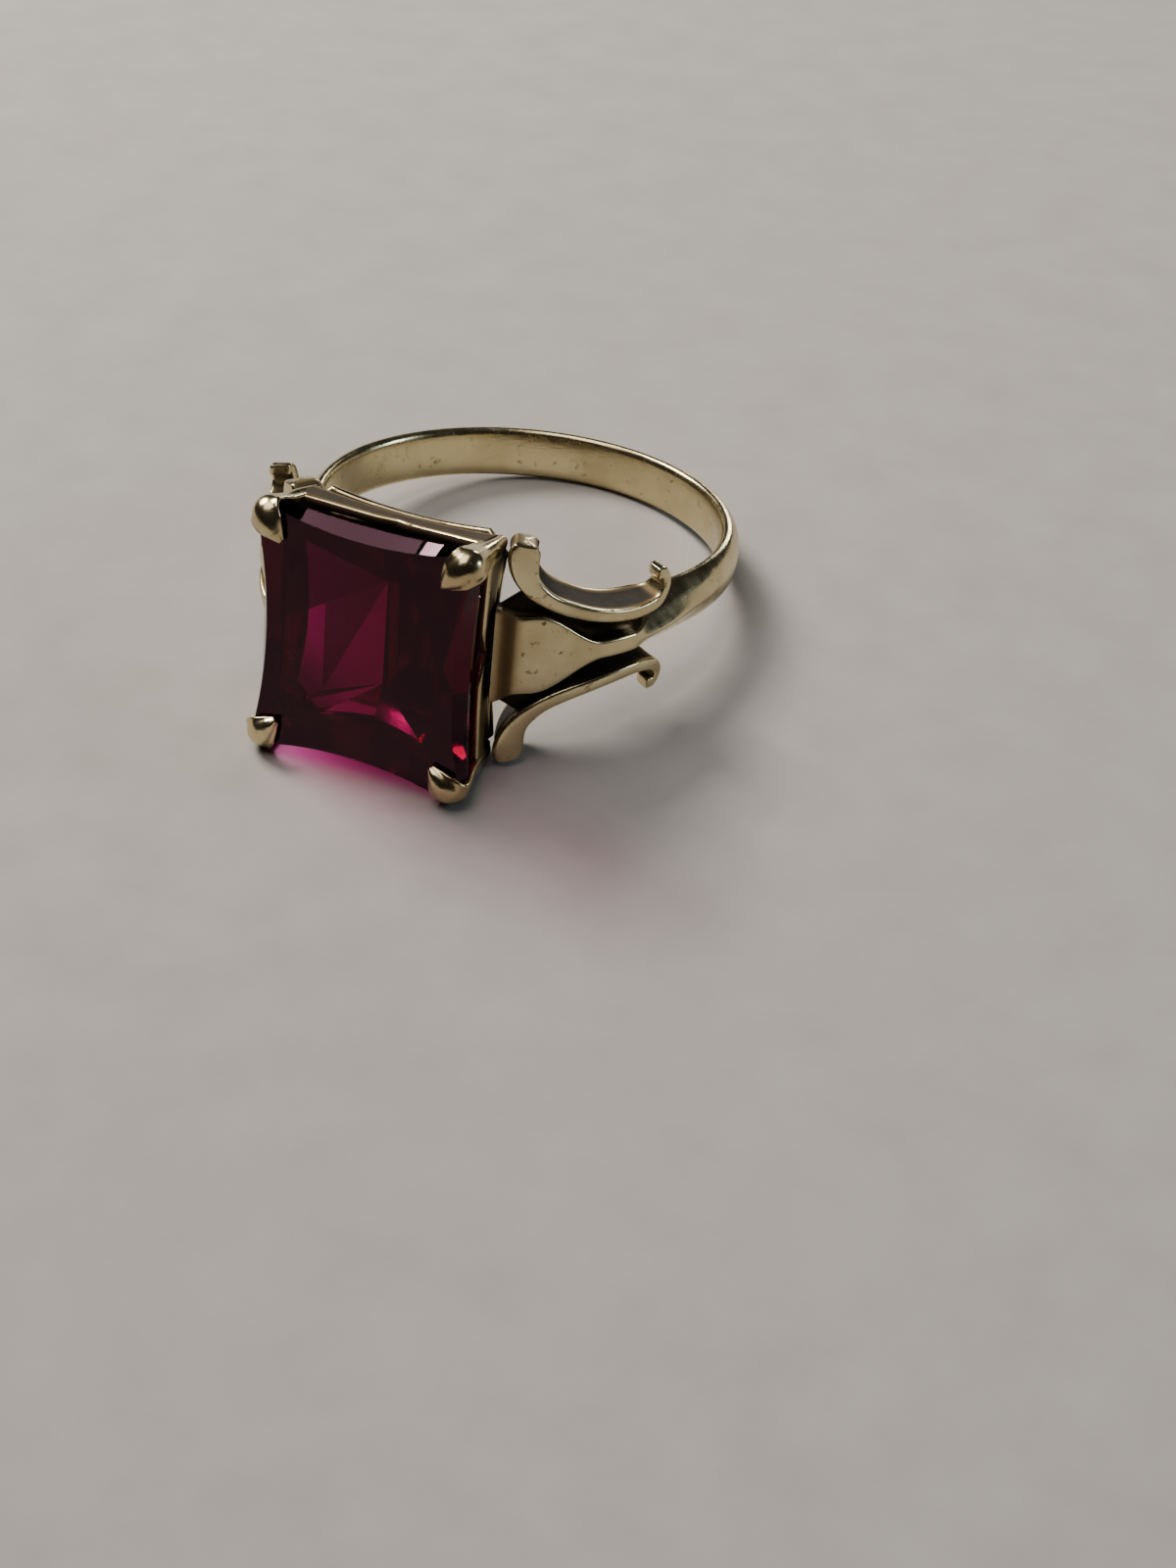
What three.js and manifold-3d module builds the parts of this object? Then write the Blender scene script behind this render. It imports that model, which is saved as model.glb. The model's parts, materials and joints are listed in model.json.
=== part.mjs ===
// Engagement ring: a red stone with hollow sides in a four-claw basket, scrolled shoulders, plain hoop.
// Millimetres. The pieces are drawn in the ring's own frame: the finger hole's axis is Z, its centre is
// the origin, and the stone faces -Y. The last lines lay the ring on its side as it rests on a table.
import * as THREE from "three";
import { mergeVertices } from "three/addons/utils/BufferGeometryUtils.js";
import Module from "manifold-3d";

// ---- driving dimensions ----
const FINGER_RADIUS = 8.5; // finger hole
const BAND_THICKNESS = 0.88; // hoop wall at the back
const BAND_WIDTH = 2.25; // hoop width at the widest
const BAND_INNER_WIDTH = 1.76; // flat face against the finger
const BAND_SIDE = 0.35; // straight part of the hoop's side
const BAND_CHAMFER = 0.16; // where the hoop's side turns to the finger

const STONE_WIDTH = 9.3; // girdle, along X at the corners
const STONE_LENGTH = 10.4; // girdle, along Z at the corners
const STONE_HOLLOW = 0.2; // how far each side of the girdle curves in
const STONE_CORNER = 0.7; // cut corner of the girdle
const CROWN_HEIGHT = 0.65;
const CROWN_BEVEL = 0.42; // crown slope at mid-side
const CROWN_BEVEL_CORNER = 0.14; // crown slope at the corners
const GIRDLE_THICKNESS = 0.16;
const STEP_DEPTH = 1.3; // girdle to the pavilion's step
const STEP_INSET = 0.7; // the step lies this far inside the girdle
const PAVILION_DEPTH = 3.8; // girdle to keel
const KEEL_LENGTH = 4.4;
const SETTING_HEIGHT = 5.25; // finger hole to the girdle plane

const WALL_THICKNESS = 0.42; // gallery walls
const WALL_DEPTH = 1.05; // gallery walls, along Y
const WALL_SETBACK = 1.75; // girdle plane to the stone side of the walls
const WALL_INSET = 0.4; // outer face of the walls, inside the girdle
const WALL_END = 0.35; // a wall stops this far inside the basket's corner, within the claw
const WALL_HOLLOW = 0.25; // how far each wall curves in at mid-side
const SIDE_CUSP = 0.55; // notch in the middle of a side wall's stone edge
const TOP_CUSP = 0.15; // the same on the top and bottom walls
const CUSP_SHARE = 0.3; // the notch's half-width, as a share of the wall's
const WALL_LEAN = 0.1; // how far a wall leans out, per millimetre of its depth
const LOBE_RISE = 0.5; // how far the wall's edge climbs to the claws
const RAIL_WIDTH = 1.1; // base rail, seen from the finger
const RAIL_DEPTH = 0.6; // base rail, along Y
const RAIL_INSET = 0.05; // base rail, inside the walls' outer faces
const RAIL_CORNER = 0.8; // cut corner of the base rail
const RAIL_INNER_CORNER = 0.5; // the same on its opening

const CLAW_WIDTH = 1.45; // across the claw at the stone
const CLAW_THICKNESS = 0.52;
const CLAW_REACH = 1.5; // how far a claw's tip lies over the table
const CLAW_STANDOFF = 0.17; // claw's middle line, outside the girdle's corner
const CLAW_ROOT_INSET = 0.45; // claw's foot, inside the basket's corner

const FAN_HALF_HEIGHT = 1.66; // centre plate at its flared end
const NECK_HALF_HEIGHT = 0.38; // centre plate's ridge at its neck
const FAN_THICKNESS = 0.95; // centre plate at its flared end
const FAN_TUCK = 0.25; // how far the plate runs into the wall before it is trimmed to it
const FAN_FILLET = 0.35; // where the plate's edge turns into the wall
const FAN_EDGE = 0.08; // rounding of the plate's rim
const FAN_FLARE_START = 1.7; // along the shoulder, where the flare begins to close
const FAN_FLARE_END = 4.6; // along the shoulder, where the neck begins
const FAN_DEEPEN_LAG = 0.6; // the plate thickens this much further along than it narrows
const FAN_JOIN = 1.8; // length over which the neck takes the hoop's section
const UPPER_CURL = 1.15; // how far the upper scroll's back end curls away from the plate
const LOWER_CURL = 0.8; // the same on the lower scroll
const SCROLL_WIDTH = 0.52; // ribbon's rim
const SCROLL_DEPTH = 2.1; // ribbon, towards the finger
const SCROLL_LIFT = 0.05; // the ribbon stays this clear of the finger
const SCROLL_HOLLOW = 0.09; // how far each side of the ribbon curves in
const HOOP_SWEEP_START = 58; // degrees from the stone, where the hoop takes over from a shoulder
const SWELL_START = 86; // degrees from the stone, where the shoulder begins to swell out of the hoop
const SWELL_STANDOFF = 0.3; // how far the swell ends outside the middle of the gallery wall
const RIDGE_FULL = 62; // degrees from the stone, up to where the hoop has the shoulders' keel
const RIDGE_GONE = 104; // degrees from the stone, from where its back is fully round

const GAP = 0.03; // solder clearance between neighbouring pieces

// ---- derived ----
const OUTER_RADIUS = FINGER_RADIUS + BAND_THICKNESS;
const GIRDLE_Y = FINGER_RADIUS + SETTING_HEIGHT; // the stone faces -Y, so its heights are taken away
const WALL_FRONT_Y = GIRDLE_Y - WALL_SETBACK;
const WALL_HALF_X = STONE_WIDTH / 2 - WALL_INSET;
const WALL_HALF_Z = STONE_LENGTH / 2 - WALL_INSET;
const rad = THREE.MathUtils.degToRad;
const { clamp, lerp, smoothstep } = THREE.MathUtils;

const gold = new THREE.MeshStandardMaterial({ color: 0xb9a66a, roughness: 0.28, metalness: 1 });
const ruby = new THREE.MeshStandardMaterial({ color: 0x7a0a2c, roughness: 0.04, metalness: 0 });

// ---- mesh helpers ----
const wasm = await Module();
wasm.setup();

function geometryFrom(points, triangles) {
  const geometry = new THREE.BufferGeometry();
  geometry.setAttribute("position", new THREE.Float32BufferAttribute(points, 3));
  geometry.setIndex(triangles);
  return geometry;
}

// Six times the signed volume: below zero when the faces point inwards.
function signedVolume(points, triangles) {
  let sum = 0;
  const [a, b, c] = [new THREE.Vector3(), new THREE.Vector3(), new THREE.Vector3()];
  for (let i = 0; i < triangles.length; i += 3) {
    a.fromArray(points, 3 * triangles[i]);
    b.fromArray(points, 3 * triangles[i + 1]);
    c.fromArray(points, 3 * triangles[i + 2]);
    sum += a.dot(b.cross(c));
  }
  return sum;
}

function outwards(points, triangles) {
  if (signedVolume(points, triangles) < 0) triangles.reverse();
  return geometryFrom(points, triangles);
}

// The strip of triangles between two rings of equal length.
function addBand(here, next, count, triangles) {
  for (let k = 0; k < count; k++) {
    const l = (k + 1) % count;
    triangles.push(here + k, next + k, next + l);
    triangles.push(here + k, next + l, here + l);
  }
}

// A closed skin over rings of equal length. Open lofts get a cap at both ends.
function loft(rings, closed = false) {
  const count = rings[0].length;
  const points = rings.flat().flatMap((p) => p.toArray());
  const triangles = [];
  for (let i = 0; i < rings.length - 1; i++) addBand(i * count, (i + 1) * count, count, triangles);
  if (closed) {
    addBand((rings.length - 1) * count, 0, count, triangles);
  } else {
    capRing(rings[0], 0, points, triangles, true);
    capRing(rings.at(-1), (rings.length - 1) * count, points, triangles, false);
  }
  return outwards(points, triangles);
}

function capRing(ring, first, points, triangles, isFirst) {
  const centre = ring.reduce((sum, p) => sum.add(p), new THREE.Vector3()).divideScalar(ring.length);
  const hub = points.length / 3;
  points.push(...centre.toArray());
  for (let k = 0; k < ring.length; k++) {
    const l = (k + 1) % ring.length;
    if (isFirst) triangles.push(hub, first + k, first + l);
    else triangles.push(hub, first + l, first + k);
  }
}

function toSolid(geometry) {
  const bare = new THREE.BufferGeometry();
  bare.setAttribute("position", geometry.getAttribute("position"));
  bare.setIndex(geometry.getIndex());
  const merged = mergeVertices(bare, 1e-5);
  return new wasm.Manifold(new wasm.Mesh({
    numProp: 3,
    vertProperties: Float32Array.from(merged.attributes.position.array),
    triVerts: Uint32Array.from(merged.index.array),
  }));
}

function fromSolid(solid) {
  const mesh = solid.getMesh();
  return geometryFrom(Array.from(mesh.vertProperties), Array.from(mesh.triVerts));
}

// The first geometry with all the others cut away.
function cut(geometry, ...tools) {
  let solid = toSolid(geometry);
  for (const tool of tools) solid = solid.subtract(toSolid(tool));
  return fromSolid(solid);
}

function samples(count, from = 0, to = 1) {
  return Array.from({ length: count + 1 }, (_, i) => lerp(from, to, i / count));
}

function curveThrough(pairs) {
  return new THREE.CatmullRomCurve3(pairs.map(([a, b]) => new THREE.Vector3(a, b, 0)));
}

// ---- the shoulder's line ----
// Seen along the finger, the shoulder leaves the hoop and swells out to the gallery wall.
const wallPoint = new THREE.Vector2(WALL_HALF_X, -(WALL_FRONT_Y - WALL_DEPTH / 2));
const wallAngle = Math.atan2(wallPoint.x, -wallPoint.y);
const swellRise = wallPoint.length() + SWELL_STANDOFF - OUTER_RADIUS;
const SWELL_END = rad(SWELL_START);
// How much of the swell is reached, against the way from the hoop to the wall.
const swell = new THREE.SplineCurve([
  new THREE.Vector2(0, 0), new THREE.Vector2(0.2, 0.1), new THREE.Vector2(0.46, 0.43),
  new THREE.Vector2(0.69, 0.73), new THREE.Vector2(0.82, 0.82), new THREE.Vector2(1, 1),
]);
const shoulderLine = new THREE.CatmullRomCurve3(samples(40).map((u) => {
  const share = swell.getPoint(1 - u);
  const angle = lerp(SWELL_END, wallAngle, share.x);
  const radius = OUTER_RADIUS + swellRise * share.y;
  return new THREE.Vector3(radius * Math.sin(angle), -radius * Math.cos(angle), 0);
}), false, "centripetal");
const SHOULDER_LENGTH = shoulderLine.getLength();

// A point of the right shoulder: s along its outer line from the wall, z across, depth inwards.
function shoulderPoint(s, z, depth) {
  const p = shoulderLine.getPointAt(clamp(s / SHOULDER_LENGTH, 0, 1));
  const radius = Math.hypot(p.x, p.y);
  const scale = (radius - depth) / radius;
  return new THREE.Vector3(p.x * scale, p.y * scale, z);
}

function depthToFinger(s) {
  const p = shoulderLine.getPointAt(clamp(s / SHOULDER_LENGTH, 0, 1));
  return Math.hypot(p.x, p.y) - FINGER_RADIUS;
}

// How far along the shoulder's line it reaches an angle, measured from the stone.
function distanceTo(angle) {
  let [low, high] = [0, SHOULDER_LENGTH];
  for (let i = 0; i < 40; i++) {
    const middle = (low + high) / 2;
    const p = shoulderLine.getPointAt(middle / SHOULDER_LENGTH);
    if (Math.atan2(p.x, -p.y) < angle) low = middle;
    else high = middle;
  }
  return low;
}
const FAN_LENGTH = distanceTo(rad(HOOP_SWEEP_START));

// ---- hoop ----
// Half of the D section as [z, depth below the outer line], from the ridge to the finger side.
// ridge = 1 gives the narrow keel at the shoulders, ridge = 0 the round back of the hoop.
function hoopSection(ridge, depth) {
  const half = BAND_WIDTH / 2;
  const dome = depth - BAND_SIDE;
  const outline = samples(5).map((t) => {
    const angle = t * Math.PI / 2;
    const keelTop = lerp(NECK_HALF_HEIGHT, half, t) * Math.min(1, 2 * angle);
    const across = lerp(half * Math.sin(angle), keelTop, ridge);
    return [across, dome * lerp(1 - Math.cos(angle), t, ridge)];
  });
  outline.push([half, depth - BAND_CHAMFER]);
  outline.push([BAND_INNER_WIDTH / 2, depth]);
  return outline;
}

function mirrored(outline) {
  const across = outline.slice(1).map(([z, d]) => [-z, d]).reverse();
  return [...outline, ...across];
}

function hoopRing(angle, radius, ridge) {
  const section = mirrored(hoopSection(ridge, radius - FINGER_RADIUS));
  return section.map(([z, d]) => new THREE.Vector3(
    (radius - d) * Math.sin(angle), -(radius - d) * Math.cos(angle), z));
}

function hoopRadius(angle) {
  const fromStone = angle > Math.PI ? 2 * Math.PI - angle : angle;
  if (fromStone >= SWELL_END) return OUTER_RADIUS;
  return FINGER_RADIUS + depthToFinger(distanceTo(fromStone));
}

function makeHoop() {
  const start = rad(HOOP_SWEEP_START) + GAP / OUTER_RADIUS;
  const rings = samples(60, start, 2 * Math.PI - start).map((angle) => {
    const fromStone = Math.min(angle, 2 * Math.PI - angle);
    const ridge = 1 - smoothstep(fromStone, rad(RIDGE_FULL), rad(RIDGE_GONE));
    return hoopRing(angle, hoopRadius(angle), ridge);
  });
  return loft(rings);
}

// ---- shoulders ----
// Half-height of the web behind the centre plate, which carries the scrolls, as [s, z].
const FAN_WEB = [
  [0, 1.9], [1.1, 2.6], [2.1, 2.1], [3.15, 1.65], [4.35, 1.33], [5.6, 1.12], [7, BAND_WIDTH / 2],
];

function webHeight(s) {
  const next = FAN_WEB.findIndex(([at]) => at > s);
  if (next <= 0) return next === 0 ? FAN_WEB[0][1] : FAN_WEB.at(-1)[1];
  const [[from, low], [to, high]] = [FAN_WEB[next - 1], FAN_WEB[next]];
  return lerp(low, high, (s - from) / (to - from));
}

// Half of the centre plate's section at s, as [z, depth below the outer line].
// deepen = 0 is the thin flared plate, deepen = 1 the neck, solid down to the finger.
function fanSection(s) {
  const close = smoothstep(s, FAN_FLARE_START, FAN_FLARE_END);
  const deepen = smoothstep(s, FAN_FLARE_START + FAN_DEEPEN_LAG, FAN_FLARE_END + FAN_DEEPEN_LAG);
  const fillet = FAN_FILLET * (1 - smoothstep(s, 0, 3 * FAN_FILLET));
  const face = lerp(FAN_HALF_HEIGHT, NECK_HALF_HEIGHT, close) + fillet;
  const depth = lerp(FAN_THICKNESS, depthToFinger(s), deepen);
  const web = Math.max(webHeight(s), face);
  const foot = lerp(web - FAN_EDGE, BAND_INNER_WIDTH / 2, deepen);
  const plate = [
    [0, 0], [face / 2, 0], [face - FAN_EDGE, 0.01], [face, FAN_EDGE], [face + FAN_EDGE / 2, 0.5 * depth],
    [web, 0.62 * depth], [web, depth - BAND_CHAMFER], [foot, depth],
  ];
  const join = smoothstep(s, FAN_LENGTH - FAN_JOIN, FAN_LENGTH);
  const hoop = hoopSection(1, depthToFinger(s));
  return plate.map(([z, d], i) => [lerp(z, hoop[i][0], join), lerp(d, hoop[i][1], join)]);
}

// Centre plate: flared and thin at the wall, closing to the keel that the hoop carries on.
function makeFan(grow = 0) {
  const rings = samples(20, -FAN_TUCK, FAN_LENGTH + grow).map((s) => {
    const section = mirrored(fanSection(s));
    return section.map(([z, d]) => shoulderPoint(s, z + Math.sign(z) * grow, d));
  });
  return loft(rings);
}

// The scroll's blunt front end beside the gallery, as [s, drop, share of the width, share of the depth].
// drop is how far it lies below the gallery's end, so that it follows the rail and the claw.
const SCROLL_FRONT = [
  [1.0, 0.15, 1.7, 0.6], [0.94, 0.58, 2.6, 0.8], [1.0, 1.15, 2.35, 0.9], [1.33, 1.87, 1.7, 0.95],
];
// Scroll ribbon: its middle line over the shoulder as [s, z, share of the width, share of the depth].
// The stem runs from the front end to the foot of the curl at the back.
const SCROLL_STEM = [
  ...SCROLL_FRONT.map(([s, drop, w, d]) => [s, WALL_HALF_Z - drop, w, d]),
  [2.1, 2.28, 1.25, 1], [3.15, 1.82, 1.15, 1.05], [4.35, 1.48, 1.05, 1.05], [5.6, 1.29, 1, 1],
  [6.7, 1.26, 1, 0.9], [7.5, 1.43, 1.05, 0.66],
];
// The curl as [s, share of the curl's height, share of the width, share of the depth].
const SCROLL_CURL = [[7.85, 0.47, 1, 0.5], [7.63, 0.96, 0.9, 0.44], [7.23, 1, 0.9, 0.4]];

function scrollLine(curlHeight) {
  const foot = SCROLL_STEM.at(-1)[1];
  const curl = SCROLL_CURL.map(([s, rise, w, d]) => [s, foot + rise * curlHeight, w, d]);
  return [...SCROLL_STEM, ...curl];
}

function scrollFrames(curlHeight, count) {
  const line = scrollLine(curlHeight);
  const path = curveThrough(line.map(([s, z]) => [s, z]));
  const shares = curveThrough(line.map(([, , w, d]) => [w, d]));
  return samples(count).map((u) => {
    const point = path.getPoint(u);
    const tangent = path.getTangent(u);
    const share = shares.getPoint(u);
    return { s: point.x, z: point.y, ns: -tangent.y, nz: tangent.x, w: share.x, d: share.y };
  });
}

// Section of a ribbon as [across, depth]: a rounded oblong with hollow sides.
function ribbonSection(half, depth) {
  const edge = 0.3 * half;
  const waist = half - SCROLL_HOLLOW;
  const right = [
    [half - edge, 0], [half, edge], [waist, depth / 2], [half, depth - edge], [half - edge, depth],
  ];
  return [...right, ...right.map(([a, q]) => [-a, q]).reverse()];
}

function makeScroll(curlHeight) {
  const rings = scrollFrames(curlHeight, 30).map(({ s, z, ns, nz, w, d }) => {
    const depth = Math.min(SCROLL_DEPTH * d, depthToFinger(s) - SCROLL_LIFT);
    const section = ribbonSection(SCROLL_WIDTH * w / 2, depth);
    return section.map(([a, q]) => shoulderPoint(s + ns * a, z + nz * a, q));
  });
  return loft(rings);
}

// ---- stone ----
// One side of the girdle, hollowed: points from corner cut to corner cut.
function hollowOutline(halfX, halfZ, hollow, corner, perSide) {
  const points = [];
  const sides = [[1, 0], [0, 1], [-1, 0], [0, -1]];
  for (const [nx, nz] of sides) {
    const away = nx !== 0 ? halfX : halfZ;
    const along = (nx !== 0 ? halfZ : halfX) - corner;
    for (const u of samples(perSide, -1, 1)) {
      const out = away - hollow * (1 - u * u);
      points.push([nx * out - nz * u * along, nz * out + nx * u * along]);
    }
  }
  return points;
}

function stoneRing(outline, y) {
  return outline.map(([x, z]) => new THREE.Vector3(x, y, z));
}

const STONE_SIDE_STEPS = 8;

function stoneOutline(inset, hollow) {
  const [halfX, halfZ] = [STONE_WIDTH / 2 - inset, STONE_LENGTH / 2 - inset];
  return hollowOutline(halfX, halfZ, hollow, STONE_CORNER, STONE_SIDE_STEPS);
}

function girdleOutline(grow) {
  return stoneOutline(-grow, STONE_HOLLOW);
}

function tableOutline(grow) {
  return stoneOutline(CROWN_BEVEL_CORNER - grow, STONE_HOLLOW + CROWN_BEVEL - CROWN_BEVEL_CORNER);
}

// The pavilion's step: straight-sided, so that the facets below it are flat.
function stepOutline(grow) {
  return stoneOutline(STEP_INSET - grow, 0);
}

// Long facets from the step down to the two ends of the keel, which runs along Z.
function addKeel(outline, first, y, points, triangles) {
  const top = points.length / 3;
  const bottom = top + 1;
  points.push(0, y, KEEL_LENGTH / 2, 0, y, -KEEL_LENGTH / 2);
  const keelEnd = outline.map(([, z]) => (z > 1e-6 ? top : bottom));
  for (let k = 0; k < outline.length; k++) {
    const l = (k + 1) % outline.length;
    triangles.push(first + k, keelEnd[k], first + l);
    if (keelEnd[k] !== keelEnd[l]) triangles.push(first + l, keelEnd[k], keelEnd[l]);
  }
}

function makeStone(grow = 0) {
  const step = stepOutline(grow);
  const rings = [
    stoneRing(tableOutline(grow), -GIRDLE_Y - CROWN_HEIGHT - grow),
    stoneRing(girdleOutline(grow), -GIRDLE_Y - GIRDLE_THICKNESS / 2),
    stoneRing(girdleOutline(grow), -GIRDLE_Y + GIRDLE_THICKNESS / 2),
    stoneRing(step, -GIRDLE_Y + STEP_DEPTH + grow),
  ];
  const points = rings.flat().flatMap((p) => p.toArray());
  const triangles = [];
  const count = step.length;
  for (let i = 0; i < rings.length - 1; i++) addBand(i * count, (i + 1) * count, count, triangles);
  capRing(rings[0], 0, points, triangles, true);
  addKeel(step, (rings.length - 1) * count, -GIRDLE_Y + PAVILION_DEPTH + grow, points, triangles);
  return outwards(points, triangles);
}

// ---- claws ----
// Middle line of a claw in the plane through the stone's axis and its corner: [from the axis, y].
function clawLine() {
  const corner = Math.hypot(STONE_WIDTH - STONE_CORNER, STONE_LENGTH - STONE_CORNER) / 2;
  const root = Math.hypot(WALL_HALF_X, WALL_HALF_Z) - CLAW_ROOT_INSET;
  const bend = corner + CLAW_STANDOFF;
  const top = -GIRDLE_Y - CROWN_HEIGHT - GAP;
  return [
    [root, -(WALL_FRONT_Y - WALL_DEPTH)],
    [root + 0.25, -WALL_FRONT_Y],
    [lerp(root, bend, 0.6), lerp(-WALL_FRONT_Y, -GIRDLE_Y, 0.55)],
    [bend - 0.04, -GIRDLE_Y - 0.1],
    [bend, -GIRDLE_Y - 0.6 * CROWN_HEIGHT],
    [bend - 0.2, top - 0.08],
    [bend - 0.7, top - 0.28],
    [bend - CLAW_REACH * 0.8, top - 0.24],
    [bend - CLAW_REACH, top - 0.16],
  ];
}
// Shares of CLAW_WIDTH and CLAW_THICKNESS at those points, from the foot to the tip.
const CLAW_SHARES = [
  [0.62, 1.1], [0.66, 1.0], [0.8, 0.95], [0.98, 1.0], [1.04, 1.0], [1.04, 0.95], [0.92, 0.9],
  [0.55, 0.72], [0.24, 0.4],
];
// Section of a claw as shares of its half width and half thickness: a thin leaf with a dome on it.
const CLAW_SECTION = [
  [-1, -0.85], [-1, -0.35], [-0.76, -0.05], [-0.52, 0.6], [-0.2, 1.05], [0.2, 1.05], [0.52, 0.6],
  [0.76, -0.05], [1, -0.35], [1, -0.85], [0.8, -1], [-0.8, -1],
];

function makeClaw(signX, signZ, grow = 0) {
  const path = curveThrough(clawLine());
  const shares = curveThrough(CLAW_SHARES);
  const diagonal = new THREE.Vector3(signX * STONE_WIDTH, 0, signZ * STONE_LENGTH).normalize();
  const across = new THREE.Vector3(-diagonal.z, 0, diagonal.x);
  const rings = samples(20).map((u) => {
    const point = path.getPoint(u);
    const tangent = path.getTangent(u);
    const share = shares.getPoint(u);
    const half = CLAW_WIDTH * share.x / 2 + grow;
    const thick = CLAW_THICKNESS * share.y / 2 + grow;
    return CLAW_SECTION.map(([a, n]) => {
      const radial = point.x - tangent.y * n * thick;
      const y = point.y + tangent.x * n * thick;
      return diagonal.clone().multiplyScalar(radial).addScaledVector(across, a * half).setY(y);
    });
  });
  return loft(rings);
}

// ---- gallery ----
// One wall of the basket, from claw to claw. Its stone edge is a curly bracket with a notch at mid-side.
function makeWall(away, along, cusp, grow, place) {
  const rings = samples(24, -1, 1).map((u) => {
    const notch = cusp * Math.pow(1 - Math.min(1, Math.abs(u) / CUSP_SHARE), 2);
    const front = -WALL_FRONT_Y - LOBE_RISE * Math.pow(Math.abs(u), 2.4) + notch - grow;
    const back = -WALL_FRONT_Y + WALL_DEPTH + grow;
    const outer = away - WALL_HOLLOW * (1 - u * u) + grow;
    const inner = outer - WALL_THICKNESS - 2 * grow;
    const lean = WALL_LEAN * (back - front);
    const section = [[outer, back], [outer + lean, front + 0.08], [outer + lean - 0.08, front],
      [inner + lean + 0.08, front], [inner + lean, front + 0.08], [inner, back]];
    return section.map(([out, y]) => place(out, u * along, y));
  });
  return loft(rings);
}

function makeSideWall(grow = 0) {
  const place = (out, run, y) => new THREE.Vector3(out, y, run);
  return makeWall(WALL_HALF_X, WALL_HALF_Z - WALL_END, SIDE_CUSP, grow, place);
}

function makeTopWall() {
  const place = (out, run, y) => new THREE.Vector3(run, y, out);
  return makeWall(WALL_HALF_Z, WALL_HALF_X - WALL_END, TOP_CUSP, 0, place);
}

// Section of the base rail, as [share of the way from its outer to its inner edge, share of its depth].
const RAIL_SECTION = [[0, 0], [0, 0.6], [0.2, 1], [0.8, 1], [1, 0.6], [1, 0]];

function makeRail() {
  const halfX = WALL_HALF_X - RAIL_INSET;
  const halfZ = WALL_HALF_Z - RAIL_INSET;
  const front = -WALL_FRONT_Y + WALL_DEPTH + GAP;
  const outer = hollowOutline(halfX, halfZ, WALL_HOLLOW, RAIL_CORNER, 6);
  const inner = hollowOutline(
    halfX - RAIL_WIDTH, halfZ - RAIL_WIDTH, WALL_HOLLOW, RAIL_INNER_CORNER, 6);
  const rings = outer.map(([x, z], i) => RAIL_SECTION.map(([inwards, down]) => new THREE.Vector3(
    lerp(x, inner[i][0], inwards), front + RAIL_DEPTH * down, lerp(z, inner[i][1], inwards))));
  return loft(rings, true);
}

// ---- assembly ----
function mirrorX(geometry) {
  const copy = geometry.clone();
  copy.scale(-1, 1, 1);
  copy.setIndex(Array.from(copy.index.array).reverse());
  return copy;
}

function mirrorZ(geometry) {
  const copy = geometry.clone();
  copy.scale(1, 1, -1);
  copy.setIndex(Array.from(copy.index.array).reverse());
  return copy;
}

const ring = new THREE.Group();

function add(name, geometry, material) {
  const mesh = new THREE.Mesh(geometry, material);
  mesh.name = name;
  ring.add(mesh);
}

add("shank_hoop", makeHoop(), gold);

// Each piece's own shape grown by the clearance, to cut its neighbours with.
const stoneSeat = makeStone(GAP);
const sideWallSeat = makeSideWall(GAP);
const fanSeat = makeFan(GAP);
const clawSeats = [];
for (const [side, signX] of [["right", 1], ["left", -1]]) {
  for (const [level, signZ] of [["top", 1], ["bottom", -1]]) {
    add(`claw_${level}_${side}`, cut(makeClaw(signX, signZ), stoneSeat), gold);
    clawSeats.push(makeClaw(signX, signZ, GAP));
  }
}

const sideWall = cut(makeSideWall(), stoneSeat, ...clawSeats);
add("gallery_right", sideWall, gold);
add("gallery_left", mirrorX(sideWall), gold);

const topWall = cut(makeTopWall(), stoneSeat, sideWallSeat, mirrorX(sideWallSeat), ...clawSeats);
add("gallery_top", topWall, gold);
add("gallery_bottom", mirrorZ(topWall), gold);
const rail = cut(makeRail(), stoneSeat, ...clawSeats);
add("base_rail", rail, gold);

const fan = cut(makeFan(), sideWallSeat, rail, ...clawSeats);
add("shoulder_fan_right", fan, gold);
add("shoulder_fan_left", mirrorX(fan), gold);

const upperScroll = cut(makeScroll(UPPER_CURL), fanSeat, sideWallSeat, ...clawSeats);
const lowerScroll = mirrorZ(cut(makeScroll(LOWER_CURL), fanSeat, sideWallSeat, ...clawSeats));
add("scroll_upper_right", upperScroll, gold);
add("scroll_lower_right", lowerScroll, gold);
add("scroll_upper_left", mirrorX(upperScroll), gold);
add("scroll_lower_left", mirrorX(lowerScroll), gold);

add("stone", makeStone(), ruby);

// ---- the ring at rest ----
// It lies on the hoop's back edge and on the lowest points of the head, so the stone tips up a little.
function lowestPoint(tilt, inFront) {
  const up = new THREE.Vector3(0, -Math.sin(tilt), Math.cos(tilt));
  const p = new THREE.Vector3();
  let best = null;
  for (const mesh of ring.children) {
    const position = mesh.geometry.attributes.position;
    for (let i = 0; i < position.count; i++) {
      p.fromBufferAttribute(position, i);
      if ((p.y < 0) !== inFront) continue;
      if (best === null || p.dot(up) < best.dot(up)) best = p.clone();
    }
  }
  return best;
}

function restingTilt() {
  let tilt = 0;
  for (let i = 0; i < 8; i++) {
    const [front, back] = [lowestPoint(tilt, true), lowestPoint(tilt, false)];
    tilt = Math.atan2(back.z - front.z, back.y - front.y);
  }
  return tilt;
}

ring.rotation.x = -restingTilt();
const box = new THREE.Box3().setFromObject(ring, true);
const centre = box.getCenter(new THREE.Vector3());
ring.position.set(-centre.x, -centre.y, -box.min.z);

const part = new THREE.Group();
part.add(ring);
export default part;
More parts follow.
